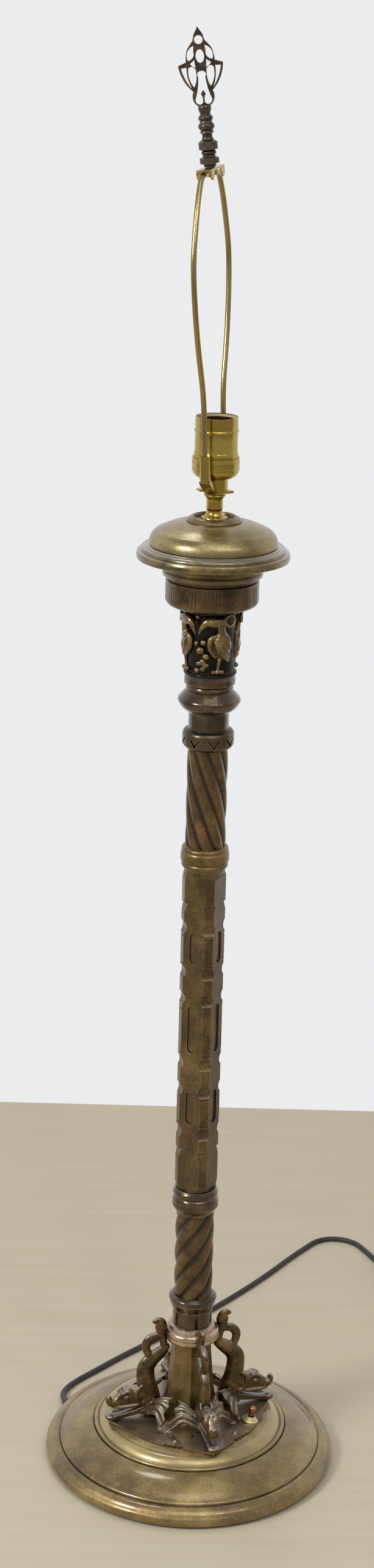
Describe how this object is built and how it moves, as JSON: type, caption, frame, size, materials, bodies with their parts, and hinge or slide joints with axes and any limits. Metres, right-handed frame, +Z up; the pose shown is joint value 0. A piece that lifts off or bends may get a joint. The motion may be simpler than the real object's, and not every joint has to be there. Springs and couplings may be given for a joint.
{
  "type": "floor lamp",
  "caption": "Cast brass floor lamp with dolphin base, twisted and faceted column, bird capital, lampholder, harp and pierced finial.",
  "frame": {"origin": "centre of the round base, on the surface the felt pad stands on", "axes": "+Z up along the column; -Y towards the side that the picture shows; +X to that side's right, where the foot switch is"},
  "size_m": [0.4305, 0.5253, 1.2145],
  "materials": {
    "felt": "felt",
    "aged_brass": "aged",
    "iron": "rough",
    "steel": "plated",
    "copper_ring": "aged",
    "bright_brass": "polished",
    "copper_wire": "insulated",
    "dark_bronze": "dark patina",
    "card": "plain",
    "porcelain": "glazed",
    "black_plastic": "satin",
    "black_rubber": "matte",
    "black_lead": "satin"
  },
  "bodies": {
    "stand": {"felt_pad": "felt", "base_dish": "aged_brass", "base_weight": "iron", "rod_washer": "steel", "rod_nut": "steel", "corner_plate": "aged_brass", "pedestal": "aged_brass", "dolphin_front": "aged_brass", "dolphin_right": "aged_brass", "dolphin_rear": "aged_brass", "dolphin_left": "aged_brass", "rolled_collar": "aged_brass", "lower_collar": "aged_brass", "lower_twist": "aged_brass", "lower_knuckle": "aged_brass", "faceted_shaft": "aged_brass", "upper_knuckle": "aged_brass", "upper_twist": "aged_brass", "zigzag_collar": "aged_brass", "torus_ring": "aged_brass", "cushion_ring": "aged_brass", "capital_core": "aged_brass", "capital_ring": "aged_brass", "capital_rim": "aged_brass", "capital_bird_1": "aged_brass", "capital_bird_2": "aged_brass", "capital_bird_3": "aged_brass", "capital_bird_4": "aged_brass", "grape_clusters": "aged_brass", "drum": "aged_brass", "cornice": "aged_brass", "dome_cap": "aged_brass", "check_ring": "copper_ring", "riser": "bright_brass", "threaded_rod": "steel", "lamp_wires": "copper_wire", "harp_saddle": "bright_brass", "harp_leg_front": "bright_brass", "harp_leg_back": "bright_brass", "harp_top_plate": "bright_brass", "finial_stud": "steel", "socket_cap": "bright_brass", "socket_shell": "bright_brass", "socket_liner": "card", "socket_core": "porcelain", "screw_shell": "bright_brass", "centre_contact": "bright_brass", "terminal_screws": "bright_brass", "switch_body": "black_plastic", "switch_escutcheon": "bright_brass", "cord_bushing": "black_rubber", "cord_run": "black_lead", "cord_coil": "black_lead", "cord_tail": "black_lead", "plug_body": "black_plastic", "plug_blades": "bright_brass"},
    "push_button": {"switch_button": "copper_ring"},
    "front_ferrule": {"harp_ferrule_front": "bright_brass"},
    "back_ferrule": {"harp_ferrule_back": "bright_brass"},
    "top_finial": {"finial": "dark_bronze"}
  },
  "joints": [
    {"name": "foot_switch_press", "type": "slide", "parent": "stand", "child": "push_button", "axis": [-0.1988, -0.0608, -0.9781], "range_m": [0, 0.0024], "stiffness_N_per_m": 350, "springref_m": -0.001},
    {"name": "front_ferrule_lift", "type": "slide", "parent": "stand", "child": "front_ferrule", "axis": [-0.0419, 0.012, 0.999], "range_m": [0, 0.013]},
    {"name": "back_ferrule_lift", "type": "slide", "parent": "stand", "child": "back_ferrule", "axis": [-0.0419, 0.012, 0.999], "range_m": [0, 0.013]},
    {"name": "finial_unscrew", "type": "hinge", "parent": "stand", "child": "top_finial", "pos_m": [-0.01044, 0.00299, 1.11176], "axis": [-0.1219, 0, 0.9925], "continuous": true}
  ]
}
